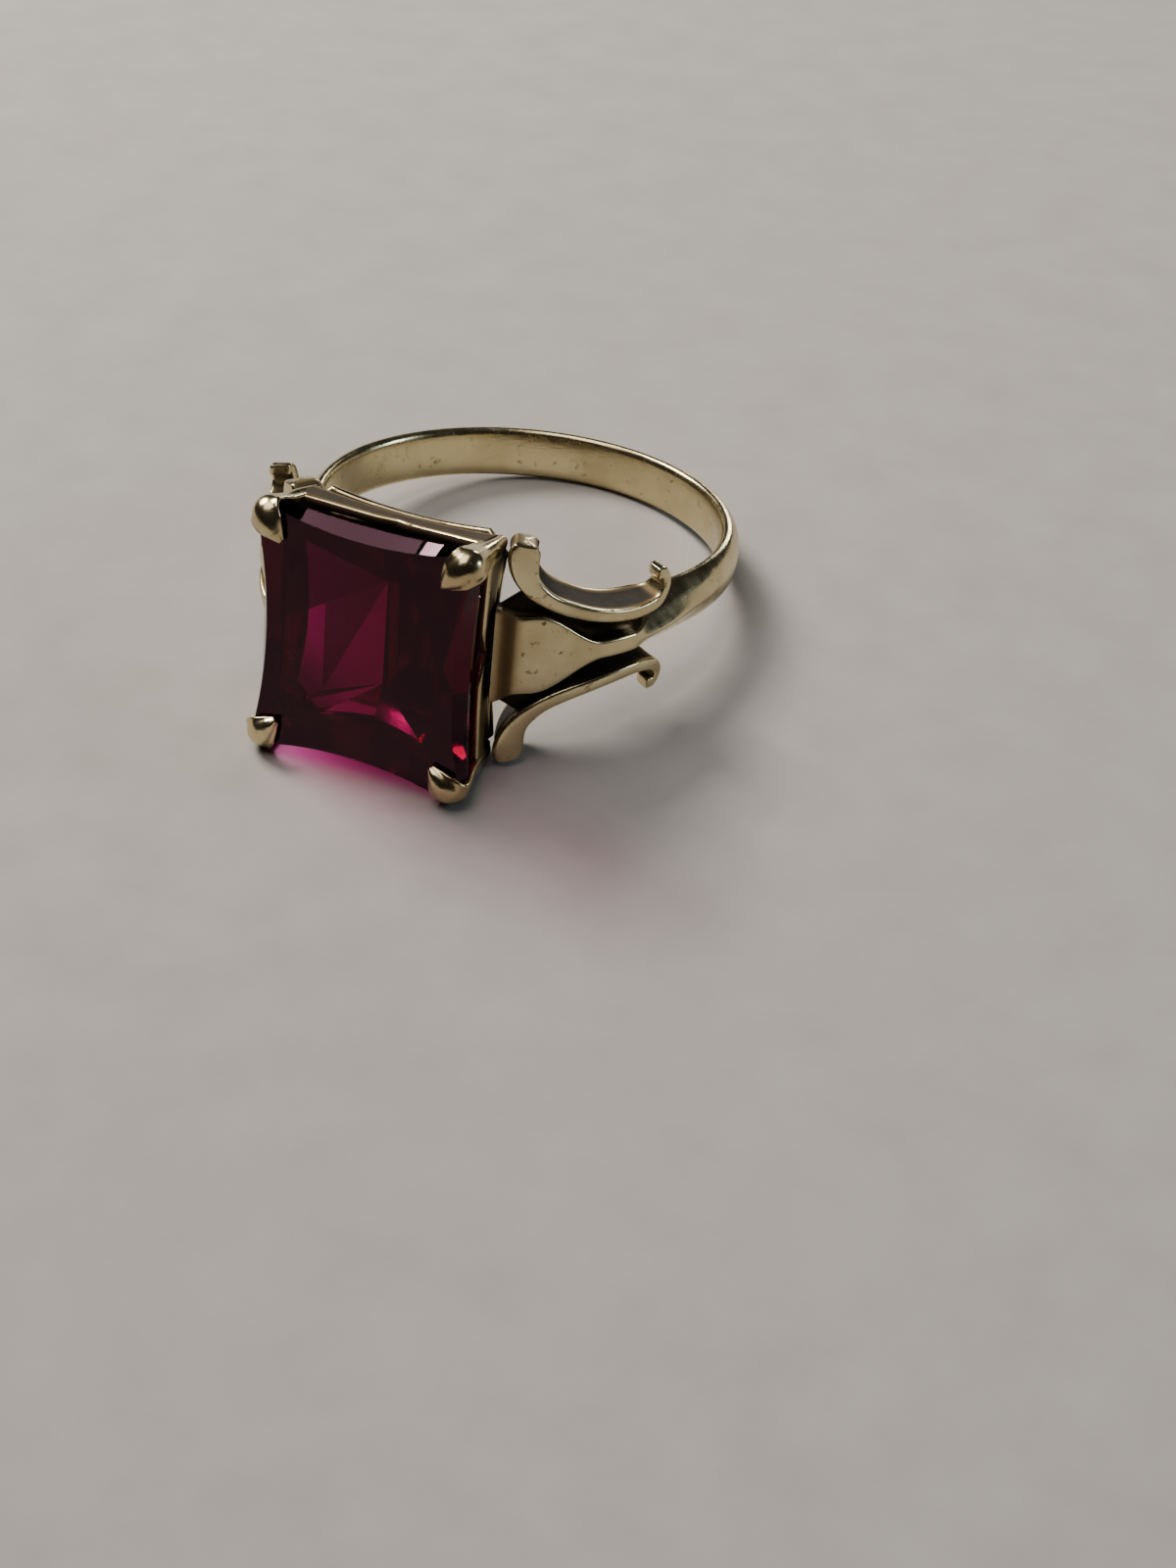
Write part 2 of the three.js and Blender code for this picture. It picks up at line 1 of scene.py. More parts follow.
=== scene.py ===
"""Engagement ring: worn yellow gold with scrolled shoulders and a clawed, hollow-sided red stone.

Shapes are drawn in millimetres in the ring's own frame: the finger hole's axis is Z, its centre is the
origin and the stone faces -Y. RING, read from the record, lays them down as the CAD ring lies.
"""

import json
import math

import bmesh
import bpy
import numpy as np
from mathutils import Matrix, Vector


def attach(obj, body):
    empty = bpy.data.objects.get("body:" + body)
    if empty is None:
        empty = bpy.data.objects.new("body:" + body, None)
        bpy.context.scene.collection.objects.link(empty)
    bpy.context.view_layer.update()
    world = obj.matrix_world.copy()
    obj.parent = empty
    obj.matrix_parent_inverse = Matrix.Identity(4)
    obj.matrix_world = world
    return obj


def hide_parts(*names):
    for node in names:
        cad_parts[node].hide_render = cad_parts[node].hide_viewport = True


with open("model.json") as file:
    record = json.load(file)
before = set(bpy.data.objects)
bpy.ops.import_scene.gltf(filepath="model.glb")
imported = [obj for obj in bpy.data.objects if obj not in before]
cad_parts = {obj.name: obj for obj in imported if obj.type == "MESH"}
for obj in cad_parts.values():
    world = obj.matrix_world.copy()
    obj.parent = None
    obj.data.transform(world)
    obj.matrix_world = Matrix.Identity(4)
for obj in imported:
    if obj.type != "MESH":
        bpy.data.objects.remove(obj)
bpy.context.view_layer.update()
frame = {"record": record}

MM = 0.001

bore = next(m for m in frame["record"]["mounts"] if m["name"] == "finger_bore")
ring_z = Vector(bore["axis"]).normalized()
ring_y = ring_z.cross(Vector((1, 0, 0))).normalized()
ring_x = ring_y.cross(ring_z)
RING = Matrix((ring_x, ring_y, ring_z)).transposed().to_4x4()
RING.translation = Vector(bore["pos_m"])

# ---- sizes, as in the CAD ----
FINGER_RADIUS = 8.5
BAND_THICKNESS = 0.88
BAND_WIDTH = 2.25
BAND_INNER_WIDTH = 1.76
BAND_SIDE = 0.35
BAND_CHAMFER = 0.16
STONE_WIDTH = 9.3
STONE_LENGTH = 10.4
STONE_HOLLOW = 0.2
STONE_CORNER = 0.7
CROWN_HEIGHT = 0.65
CROWN_BEVEL = 0.42
CROWN_BEVEL_CORNER = 0.14
GIRDLE_THICKNESS = 0.16
STEP_DEPTH = 1.3
STEP_INSET = 0.7
PAVILION_DEPTH = 3.8
KEEL_LENGTH = 4.4
SETTING_HEIGHT = 5.25  # finger hole to the girdle plane
WALL_THICKNESS = 0.42
WALL_DEPTH = 1.05
WALL_SETBACK = 1.75
WALL_INSET = 0.4
WALL_END = 0.35
WALL_HOLLOW = 0.25
SIDE_CUSP = 0.55
TOP_CUSP = 0.15
CUSP_SHARE = 0.3
WALL_LEAN = 0.1
LOBE_RISE = 0.5
RAIL_WIDTH = 1.1
RAIL_DEPTH = 0.6
RAIL_INSET = 0.05
RAIL_CORNER = 0.8
RAIL_INNER_CORNER = 0.5
CLAW_WIDTH = 1.45
CLAW_THICKNESS = 0.52
CLAW_REACH = 1.5
CLAW_STANDOFF = 0.17
CLAW_ROOT_INSET = 0.45
FAN_HALF_HEIGHT = 1.66
NECK_HALF_HEIGHT = 0.38
FAN_THICKNESS = 0.95
FAN_FILLET = 0.35
FAN_EDGE = 0.08
FAN_FLARE_START = 1.7
FAN_FLARE_END = 4.6
FAN_DEEPEN_LAG = 0.6
FAN_JOIN = 1.8
UPPER_CURL = 1.15
LOWER_CURL = 0.8
SCROLL_WIDTH = 0.52
SCROLL_DEPTH = 2.1
SCROLL_LIFT = 0.05
SCROLL_HOLLOW = 0.09
HOOP_SWEEP_START = math.radians(58)
SWELL_END = math.radians(86)
SWELL_STANDOFF = 0.3
GAP = 0.03

OUTER_RADIUS = FINGER_RADIUS + BAND_THICKNESS
GIRDLE_Y = FINGER_RADIUS + SETTING_HEIGHT
WALL_FRONT_Y = GIRDLE_Y - WALL_SETBACK
WALL_HALF_X = STONE_WIDTH / 2 - WALL_INSET
WALL_HALF_Z = STONE_LENGTH / 2 - WALL_INSET

# ---- sizes that only this model has ----
SCISSOR_RISE = 0.35  # how far the meeting points of the pavilion's facets stand out
SCISSOR_Z = {1: 0.9, -1: -2.9}  # heights of those points on the long sides
HOOP_OVERLAP = 0.01  # radians by which the hoop's ends pass into the shoulders
RIDGE_FULL = math.radians(62)  # from the stone to where the hoop still has the shoulders' keel
RIDGE_GONE = math.radians(104)  # and to where its back is fully round
SCROLL_END = 0.08  # how far the scrolls' ends are domed


# ---- curves ----
def lerp(a, b, t):
    return a + (b - a) * t


def smoothstep(x, low, high):
    t = min(1.0, max(0.0, (x - low) / (high - low)))
    return t * t * (3 - 2 * t)


def spline(points, shares):
    """Centripetal Catmull-Rom through the points, read at shares of the way counted in points."""
    p = np.asarray(points, float)
    p = np.vstack([2 * p[0] - p[1], p, 2 * p[-1] - p[-2]])
    out = []
    for share in shares:
        at = min(max(share, 0.0), 1.0) * (len(p) - 3)
        i = min(int(at), len(p) - 4)
        t = at - i
        a, b, c, d = p[i : i + 4]
        ab, bc, cd = (max(np.linalg.norm(v), 1e-6) ** 0.5 for v in (b - a, c - b, d - c))
        start = ((b - a) / ab - (c - a) / (ab + bc) + (c - b) / bc) * bc
        end = ((c - b) / bc - (d - b) / (bc + cd) + (d - c) / cd) * bc
        square = (3 * (c - b) - 2 * start - end) * t**2
        cube = (2 * (b - c) + start + end) * t**3
        out.append(b + start * t + square + cube)
    return np.array(out)


def tangents(points):
    slopes = np.gradient(points, axis=0)
    return slopes / np.linalg.norm(slopes, axis=1)[:, None]


def rounded(ring, share=0.22, times=2):
    """A closed ring of points with its corners cut, so that the edges come out rounded."""
    for _ in range(times):
        after = np.roll(ring, -1, axis=0)
        pairs = np.stack([lerp(ring, after, share), lerp(ring, after, 1 - share)], axis=1)
        ring = pairs.reshape(-1, ring.shape[1])
    return ring


def mirrored(half):
    """Both halves of a section, from its right half as [z, depth] that starts on the middle line."""
    return np.array([*half, *[(-z, d) for z, d in half[:0:-1]]])


# ---- meshes ----
def mesh_object(name, points, faces):
    mesh = bpy.data.meshes.new(name)
    mesh.from_pydata([tuple(p) for p in points], [], faces)
    piece = bpy.data.objects.new(name, mesh)
    bpy.context.scene.collection.objects.link(piece)
    bm = bmesh.new()
    bm.from_mesh(mesh)
    bmesh.ops.recalc_face_normals(bm, faces=bm.faces)
    bm.to_mesh(mesh)
    bm.free()
    return piece


END_ANGLES = (25, 50, 70, 84)
END_RINGS = len(END_ANGLES)


def round_ends(rings, reach):
    """More rings at both ends, so that a loft's ends are domed by reach."""
    rings = list(rings)
    for first in (True, False):
        end, before = (rings[0], rings[1]) if first else (rings[-1], rings[-2])
        centre = end.mean(axis=0)
        way = centre - before.mean(axis=0)
        way /= np.linalg.norm(way)
        for angle in END_ANGLES:
            c, s = math.cos(math.radians(angle)), math.sin(math.radians(angle))
            ring = centre + (end - centre) * c + way * reach * s
            if first:
                rings.insert(0, ring)
            else:
                rings.append(ring)
    return rings


def band_faces(here, there, count):
    """The strip of faces between two rings of count points, whose first points are here and there."""
    return [(here + k, here + (k + 1) % count, there + (k + 1) % count, there + k) for k in range(count)]


def loft(name, rings, closed=False, reach=0.0, painted_shade_and_tarnish=None):
    """A skin over the rings. The last argument gives, ring by ring, how much painted shade each point takes
    in a hollow; on the fan it also holds tarnish.
    """
    if painted_shade_and_tarnish is None:
        painted_shade_and_tarnish = [np.zeros(len(ring)) for ring in rings]
    if reach:
        rings = round_ends(rings, reach)
        painted_shade_and_tarnish = [painted_shade_and_tarnish[0]] * END_RINGS + list(painted_shade_and_tarnish) + [painted_shade_and_tarnish[-1]] * END_RINGS
    count = len(rings[0])
    faces = []
    for i in range(len(rings) if closed else len(rings) - 1):
        faces += band_faces(i * count, (i + 1) % len(rings) * count, count)
    if not closed:
        faces.append(tuple(range(count)))
        faces.append(tuple(range((len(rings) - 1) * count, len(rings) * count)))
    piece = mesh_object(name, np.concatenate(rings), faces)
    attribute = piece.data.attributes.new("painted_shade_and_tarnish", "FLOAT", "POINT")
    attribute.data.foreach_set("value", np.concatenate(painted_shade_and_tarnish).astype(np.float32))
    return piece


def carve(piece, tool):
    """Cuts the tool's shape out of the piece."""
    cut = piece.modifiers.new("cut", "BOOLEAN")
    cut.operation = "DIFFERENCE"
    cut.solver = "EXACT"
    cut.object = tool
    evaluated = piece.evaluated_get(bpy.context.evaluated_depsgraph_get())
    mesh = bpy.data.meshes.new_from_object(evaluated)
    piece.modifiers.clear()
    piece.data = mesh


def smooth_by_angle(piece, degrees):
    """Smooth shading, with edges sharper than the angle left hard."""
    bm = bmesh.new()
    bm.from_mesh(piece.data)
    for face in bm.faces:
        face.smooth = True
    for edge in bm.edges:
        edge.smooth = len(edge.link_faces) == 2 and edge.calc_face_angle(0) < math.radians(degrees)
    bm.to_mesh(piece.data)
    bm.free()


# ---- the shoulder's line ----
def swell_line():
    """Outer line of the right shoulder from the wall to the hoop, finely and evenly spaced."""
    wall = np.array([WALL_HALF_X, -(WALL_FRONT_Y - WALL_DEPTH / 2)])
    wall_angle = math.atan2(wall[0], -wall[1])
    rise = np.linalg.norm(wall) + SWELL_STANDOFF - OUTER_RADIUS
    control = [(0, 0), (0.2, 0.1), (0.46, 0.43), (0.69, 0.73), (0.82, 0.82), (1, 1)]
    shares = spline(control, np.linspace(1, 0, 400))
    angles = lerp(SWELL_END, wall_angle, shares[:, 0])
    radii = OUTER_RADIUS + rise * shares[:, 1]
    return np.stack([radii * np.sin(angles), -radii * np.cos(angles)], axis=1)


SHOULDER = swell_line()
ALONG = np.concatenate([[0], np.cumsum(np.linalg.norm(np.diff(SHOULDER, axis=0), axis=1))])
SHOULDER_ANGLES = np.arctan2(SHOULDER[:, 0], -SHOULDER[:, 1])
SHOULDER_RADII = np.linalg.norm(SHOULDER, axis=1)
FAN_LENGTH = float(np.interp(HOOP_SWEEP_START, SHOULDER_ANGLES, ALONG))


def shoulder_point(s, z, depth):
    """A point of the right shoulder: s along its outer line from the wall, z across, depth inwards."""
    radius = np.interp(s, ALONG, SHOULDER_RADII) - depth
    angle = np.interp(s, ALONG, SHOULDER_ANGLES)
    return (radius * math.sin(angle), -radius * math.cos(angle), z)


def depth_to_finger(s):
    return float(np.interp(s, ALONG, SHOULDER_RADII)) - FINGER_RADIUS


# ---- hoop ----
def hoop_section(ridge, depth):
    """Half of the D section. ridge = 1 gives the shoulders' keel, ridge = 0 the round back."""
    dome = depth - BAND_SIDE
    half = BAND_WIDTH / 2
    section = []
    for t in np.linspace(0, 1, 6):
        angle = t * math.pi / 2
        keel = lerp(NECK_HALF_HEIGHT, half, t) * min(1.0, 2 * angle)
        across = lerp(half * math.sin(angle), keel, ridge)
        section.append((across, dome * lerp(1 - math.cos(angle), t, ridge)))
    return [*section, (half, depth - BAND_CHAMFER), (BAND_INNER_WIDTH / 2, depth)]


def make_hoop():
    rings = []
    start, end = HOOP_SWEEP_START - HOOP_OVERLAP, 2 * math.pi - HOOP_SWEEP_START + HOOP_OVERLAP
    for angle in np.linspace(start, end, 320):
        from_stone = min(angle, 2 * math.pi - angle)
        radius = float(np.interp(from_stone, SHOULDER_ANGLES, SHOULDER_RADII))
        ridge = 1 - smoothstep(from_stone, RIDGE_FULL, RIDGE_GONE)
        section = rounded(mirrored(hoop_section(ridge, radius - FINGER_RADIUS)))
        rings.append(np.array([((radius - d) * math.sin(angle), -(radius - d) * math.cos(angle), z)
                               for z, d in section]))
    return loft("hoop", rings)


# ---- shoulders ----
# Half-height of the web behind the centre plate, which carries the scrolls and is painted dark as shade, at
# distances s.
FAN_WEB_S = (0, 1.1, 2.1, 3.15, 4.35, 5.6, 7)
FAN_WEB_Z = (1.9, 2.6, 2.1, 1.65, 1.33, 1.12, BAND_WIDTH / 2)


def fan_section(s):
    """Half of the centre plate's section: thin and flared at the wall, solid at the neck."""
    close = smoothstep(s, FAN_FLARE_START, FAN_FLARE_END)
    deepen = smoothstep(s, FAN_FLARE_START + FAN_DEEPEN_LAG, FAN_FLARE_END + FAN_DEEPEN_LAG)
    fillet = FAN_FILLET * (1 - smoothstep(s, 0, 3 * FAN_FILLET))
    face = lerp(FAN_HALF_HEIGHT, NECK_HALF_HEIGHT, close) + fillet
    depth = lerp(FAN_THICKNESS, depth_to_finger(s), deepen)
    web = max(float(np.interp(s, FAN_WEB_S, FAN_WEB_Z)), face)
    foot = lerp(web - FAN_EDGE, BAND_INNER_WIDTH / 2, deepen)
    plate = [(0, 0), (face / 2, 0), (face - FAN_EDGE, 0.01), (face, FAN_EDGE),
             (face + FAN_EDGE / 2, depth / 2), (web, 0.62 * depth), (web, depth - BAND_CHAMFER),
             (foot, depth)]
    join = smoothstep(s, FAN_LENGTH - FAN_JOIN, FAN_LENGTH)
    hoop = hoop_section(1, depth_to_finger(s))
    return [(lerp(z, hz, join), lerp(d, hd, join)) for (z, d), (hz, hd) in zip(plate, hoop)]


def make_fan():
    rings, painted_shade_and_tarnish = [], []
    for s in np.linspace(0.02, FAN_LENGTH + 0.02, 140):
        section = rounded(mirrored(fan_section(s)))
        depths = section[:, 1] / section[:, 1].max()
        fading = 1 - smoothstep(s, FAN_LENGTH - 1.2, FAN_LENGTH)
        stain = 0.62 * math.exp(-(((s - 0.62) / 0.34) ** 2))  # a tarnished stripe beside the wall
        fold = stain + 0.22 * (1 - smoothstep(s, 0.2, 1.0))
        rings.append(np.array([shoulder_point(s, z, d) for z, d in section]))
        # Painted shade on the deeper parts of each section (the web and sides behind the plate), fading out
        # near the hoop; beside the wall, the tarnished stripe and a darkening that fades out between s = 0.2
        # and 1.
        painted_shade_and_tarnish.append(np.maximum(fold, np.clip((depths - 0.22) / 0.2, 0, 1) * fading))
    return loft("fan", rings, painted_shade_and_tarnish=painted_shade_and_tarnish)


# The blunt front end as [s, drop below the gallery's end, share of the width, share of the depth].
SCROLL_FRONT = [
    (1.0, 0.15, 1.7, 0.6), (0.94, 0.58, 2.6, 0.8), (1.0, 1.15, 2.35, 0.9), (1.33, 1.87, 1.7, 0.95),
]
# Ribbon's middle line as [s, z, share of the width, share of the depth], and the curl at its back end.
SCROLL_STEM = [
    *[(s, WALL_HALF_Z - drop, w, d) for s, drop, w, d in SCROLL_FRONT],
    (2.1, 2.28, 1.25, 1), (3.15, 1.82, 1.15, 1.05), (4.35, 1.48, 1.05, 1.05), (5.6, 1.29, 1, 1),
    (6.7, 1.26, 1, 0.9), (7.5, 1.43, 1.05, 0.66),
]
SCROLL_CURL = [(7.85, 0.47, 1, 0.5), (7.63, 0.96, 0.9, 0.44), (7.23, 1, 0.9, 0.4)]


def ribbon_section(half, depth, hollow):
    """Section of a ribbon as [across, depth], with hollow sides between two rims."""
    edge = 0.34 * half
    waist = half - hollow
    right = [(half - edge, 0), (half, 0.8 * edge), (waist, 0.3 * depth), (waist, 0.7 * depth),
             (half, depth - edge), (half - edge, depth)]
    return np.array([*right, *[(-a, q) for a, q in right[::-1]]])


def make_scroll(curl):
    foot = SCROLL_STEM[-1][1]
    line = SCROLL_STEM + [(s, foot + rise * curl, w, d) for s, rise, w, d in SCROLL_CURL]
    path = spline(line, np.linspace(0.014, 0.994, 180))
    ways = tangents(path[:, :2])
    rings, painted_shade_and_tarnish = [], []
    for (s, z, w, d), (ts, tz) in zip(path, ways):
        depth = min(SCROLL_DEPTH * d, depth_to_finger(s) - SCROLL_LIFT)
        groove = smoothstep(d, 0.5, 0.8)
        section = rounded(ribbon_section(SCROLL_WIDTH * w / 2, depth, SCROLL_HOLLOW * groove))
        rings.append(np.array([shoulder_point(s - tz * a, z + ts * a, q) for a, q in section]))
        # Painted shade along the middle of the ribbon's hollow sides, between its rims.
        middle = 1 - np.abs(section[:, 1] / depth - 0.5) / 0.44
        painted_shade_and_tarnish.append(groove * np.clip(3.2 * middle, 0, 1))
    return loft("scroll", rings, reach=SCROLL_END, painted_shade_and_tarnish=painted_shade_and_tarnish)


# ---- stone ----
def hollow_outline(half_x, half_z, hollow, corner, steps):
    points = []
    for nx, nz in ((1, 0), (0, 1), (-1, 0), (0, -1)):
        away = half_x if nx else half_z
        along = (half_z if nx else half_x) - corner
        for u in np.linspace(-1, 1, steps):
            out = away - hollow * (1 - u * u)
            points.append((nx * out - nz * u * along, nz * out + nx * u * along))
    return points


def make_stone(grow=0.0, steps=25):
    """The stone, or its seat when grow is above 0. Its back facets carry painted shade, one value for each
    facet.
    """
    def ring(inset, hollow, y):
        half_x, half_z = STONE_WIDTH / 2 - inset, STONE_LENGTH / 2 - inset
        outline = hollow_outline(half_x, half_z, hollow, STONE_CORNER, steps)
        return [(x, y, z) for x, z in outline]

    table_hollow = STONE_HOLLOW + CROWN_BEVEL - CROWN_BEVEL_CORNER
    rings = [
        ring(CROWN_BEVEL_CORNER - grow, table_hollow, -GIRDLE_Y - CROWN_HEIGHT - grow),
        ring(-grow, STONE_HOLLOW, -GIRDLE_Y - GIRDLE_THICKNESS / 2),
        ring(-grow, STONE_HOLLOW, -GIRDLE_Y + GIRDLE_THICKNESS / 2),
        ring(STEP_INSET - grow, 0, -GIRDLE_Y + STEP_DEPTH + grow),
    ]
    count = 4 * steps
    points = [p for r in rings for p in r]
    faces = [tuple(range(count))]
    for i in range(3):
        faces += band_faces(i * count, (i + 1) * count, count)
    bottom = 3 * count
    keel_y = -GIRDLE_Y + PAVILION_DEPTH + grow
    keel = {1: len(points), -1: len(points) + 1}
    points += [(0, keel_y, KEEL_LENGTH / 2), (0, keel_y, -KEEL_LENGTH / 2)]
    step_x = STONE_WIDTH / 2 - STEP_INSET + grow
    step_z = STONE_LENGTH / 2 - STEP_INSET + grow
    half_y = -GIRDLE_Y + (STEP_DEPTH + PAVILION_DEPTH) / 2 + grow
    for side, (nx, nz) in enumerate(((1, 0), (0, 1), (-1, 0), (0, -1))):
        edge = list(range(bottom + side * steps, bottom + (side + 1) * steps))
        after = bottom + (side + 1) % 4 * steps
        hubs = len(points)
        if nx:
            first_end, last_end = keel[-nx], keel[nx]
            x = nx * (step_x / 2 + SCISSOR_RISE)
            points += [(x, half_y, SCISSOR_Z[-nx]), (x, half_y, SCISSOR_Z[nx])]
            half = steps // 2
            faces += [(*edge[:half + 1], hubs), (*edge[half:], hubs + 1, hubs),
                      (hubs, hubs + 1, first_end), (hubs + 1, last_end, first_end),
                      (edge[-1], last_end, hubs + 1), (edge[0], hubs, first_end)]
        else:
            last_end = keel[nz]
            points.append((0, half_y, nz * ((step_z + KEEL_LENGTH / 2) / 2 + SCISSOR_RISE)))
            faces += [(*edge, hubs), (edge[-1], last_end, hubs), (edge[0], hubs, last_end)]
        faces.append((edge[-1], after, last_end))
    piece = mesh_object("stone", points, faces)
    # Painted shade on the back facets: darker towards the top, with a random spread from facet to facet.
    chance = np.random.default_rng(5)
    painted_facet_shade = np.zeros(len(faces), np.float32)
    for i in range(3 * count + 1, len(faces)):
        height = np.mean([points[c][2] for c in faces[i]])
        painted_facet_shade[i] = min(1.0, 0.95 * smoothstep(height, -1.6, 1.2) + chance.uniform(0, 0.35))
    piece.data.attributes.new("painted_facet_shade", "FLOAT", "FACE").data.foreach_set("value", painted_facet_shade)
    return piece


# ---- claws ----
CLAW_SHARES = [(0.62, 1.1), (0.66, 1.0), (0.8, 0.95), (0.98, 1.0), (1.04, 1.0), (1.04, 0.95), (0.92, 0.9),
               (0.55, 0.72), (0.24, 0.4)]
CLAW_SECTION = np.array([(-1, -0.85), (-1, -0.35), (-0.76, -0.05), (-0.52, 0.6), (-0.2, 1.05), (0.2, 1.05),
                         (0.52, 0.6), (0.76, -0.05), (1, -0.35), (1, -0.85), (0.8, -1), (-0.8, -1)])


def claw_line():
    """The claw's middle line as [distance from the stone's axis, y], from its root to its tip."""
    corner = math.hypot(STONE_WIDTH - STONE_CORNER, STONE_LENGTH - STONE_CORNER) / 2
    root = math.hypot(WALL_HALF_X, WALL_HALF_Z) - CLAW_ROOT_INSET
    bend = corner + CLAW_STANDOFF
    top = -GIRDLE_Y - CROWN_HEIGHT - GAP
    return [(root, -(WALL_FRONT_Y - WALL_DEPTH)), (root + 0.25, -WALL_FRONT_Y),
            (lerp(root, bend, 0.6), lerp(-WALL_FRONT_Y, -GIRDLE_Y, 0.55)), (bend - 0.04, -GIRDLE_Y - 0.1),
            (bend, -GIRDLE_Y - 0.6 * CROWN_HEIGHT), (bend - 0.2, top - 0.08), (bend - 0.7, top - 0.28),
            (bend - CLAW_REACH * 0.8, top - 0.24), (bend - CLAW_REACH, top - 0.16)]


def make_claw(sign_x, sign_z):
    shares = np.linspace(0, 1, 90)
    path = spline(claw_line(), shares)
    sizes = spline(CLAW_SHARES, shares)
    diagonal = np.array([sign_x * STONE_WIDTH, 0, sign_z * STONE_LENGTH])
    diagonal /= np.linalg.norm(diagonal)
    across = np.array([-diagonal[2], 0, diagonal[0]])
    section = rounded(CLAW_SECTION)
    rings = []
    for (r, y), (tr, ty), (w, d) in zip(path, tangents(path), sizes):
        wide, thick = CLAW_WIDTH * w / 2, CLAW_THICKNESS * d / 2
        rings.append(np.array([diagonal * (r - ty * n * thick) + across * (a * wide)
                               + np.array([0, y + tr * n * thick, 0]) for a, n in section]))
    return loft("claw", rings, reach=0.05)


# ---- gallery ----
def make_wall(away, along, cusp, place, shade_from, outer_face_shade):
    """Painted shade: the second-to-last argument is where the darkened inner side starts, as a share of the
    wall; the last darkens the outer face.
    """
    rings, painted_shade_and_tarnish = [], []
    for u in np.linspace(-1, 1, 121):
        notch = cusp * (1 - min(1.0, abs(u) / CUSP_SHARE)) ** 2
        front = -WALL_FRONT_Y - LOBE_RISE * abs(u) ** 2.4 + notch
        back = -WALL_FRONT_Y + WALL_DEPTH
        outer = away - WALL_HOLLOW * (1 - u * u)
        inner = outer - WALL_THICKNESS
        lean = WALL_LEAN * (back - front)
        section = np.array([(outer, back), (outer + lean, front + 0.1), (outer + lean - 0.1, front),
                            (inner + lean + 0.1, front), (inner + lean, front + 0.1), (inner, back)])
        section = rounded(section)
        inwards = (outer + lean * 0.5 - section[:, 0]) / WALL_THICKNESS
        rings.append(np.array([place(out, u * along, y) for out, y in section]))
        # Painted shade: a band across the middle of the outer face, and the inner side from the given share
        # inwards.
        height = (section[:, 1] - front) / (back - front)
        face = outer_face_shade * np.clip(3 * (1 - np.abs(height - 0.48) / 0.42), 0, 1)
        painted_shade_and_tarnish.append(np.maximum(face, np.clip((inwards - shade_from) / 0.3, 0, 1)))
    return loft("wall", rings, painted_shade_and_tarnish=painted_shade_and_tarnish)


def make_side_wall():
    return make_wall(WALL_HALF_X, WALL_HALF_Z - WALL_END, SIDE_CUSP,
                     place=lambda out, run, y: (out, y, run), shade_from=0.25, outer_face_shade=0.5)


def make_top_wall():
    return make_wall(WALL_HALF_Z, WALL_HALF_X - WALL_END, TOP_CUSP,
                     place=lambda out, run, y: (run, y, out), shade_from=0.05, outer_face_shade=0.95)


def make_rail():
    half_x, half_z = WALL_HALF_X - RAIL_INSET, WALL_HALF_Z - RAIL_INSET
    front = -WALL_FRONT_Y + WALL_DEPTH + GAP
    outer = hollow_outline(half_x, half_z, WALL_HOLLOW, RAIL_CORNER, 25)
    inner = hollow_outline(half_x - RAIL_WIDTH, half_z - RAIL_WIDTH, WALL_HOLLOW, RAIL_INNER_CORNER, 25)
    section = rounded(np.array([(0, 0), (0, 0.6), (0.2, 1), (0.8, 1), (1, 0.6), (1, 0)]))
    rings = [np.array([(lerp(x, ix, t), front + RAIL_DEPTH * d, lerp(z, iz, t)) for t, d in section])
             for (x, z), (ix, iz) in zip(outer, inner)]
    return loft("rail", rings, closed=True)


# ---- materials ----
def new_material(name):
    material = bpy.data.materials.new(name)
    material.use_nodes = True
    return material, material.node_tree, material.node_tree.nodes["Principled BSDF"]


def add_node(tree, kind, **settings):
    node = tree.nodes.new(kind)
    for key, value in settings.items():
        if key in node.inputs:
            node.inputs[key].default_value = value
        else:
            setattr(node, key, value)
    return node


def noise(tree, scale, detail=4.0, rough=0.55, stretch=None):
    """Noise in the object's own space, with about scale features per metre."""
    vector = add_node(tree, "ShaderNodeTexCoord").outputs["Object"]
    if stretch:
        mapping = add_node(tree, "ShaderNodeMapping")
        mapping.inputs["Scale"].default_value = stretch
        tree.links.new(vector, mapping.inputs["Vector"])
        vector = mapping.outputs["Vector"]
    node = add_node(tree, "ShaderNodeTexNoise", Scale=scale, Detail=detail, Roughness=rough)
    tree.links.new(vector, node.inputs["Vector"])
    return node.outputs["Fac"]


def ramp(tree, factor, *stops):
    node = add_node(tree, "ShaderNodeValToRGB")
    elements = node.color_ramp.elements
    while len(elements) < len(stops):
        elements.new(0.5)
    for element, (at, colour) in zip(elements, stops):
        element.position = at
        element.color = (*colour, 1) if isinstance(colour, tuple) else (colour, colour, colour, 1)
    tree.links.new(factor, node.inputs["Fac"])
    return node.outputs["Color"]


def mix_colour(tree, factor, a, b):
    node = add_node(tree, "ShaderNodeMix", data_type="RGBA")
    for socket, value in ((node.inputs["Factor"], factor), (node.inputs[6], a), (node.inputs[7], b)):
        if isinstance(value, bpy.types.NodeSocket):
            tree.links.new(value, socket)
        else:
            socket.default_value = value
    return node.outputs[2]


def maths(tree, operation, a, b):
    node = add_node(tree, "ShaderNodeMath", operation=operation)
    for socket, value in zip(node.inputs, (a, b)):
        if isinstance(value, bpy.types.NodeSocket):
            tree.links.new(value, socket)
        else:
            socket.default_value = value
    return node.outputs[0]


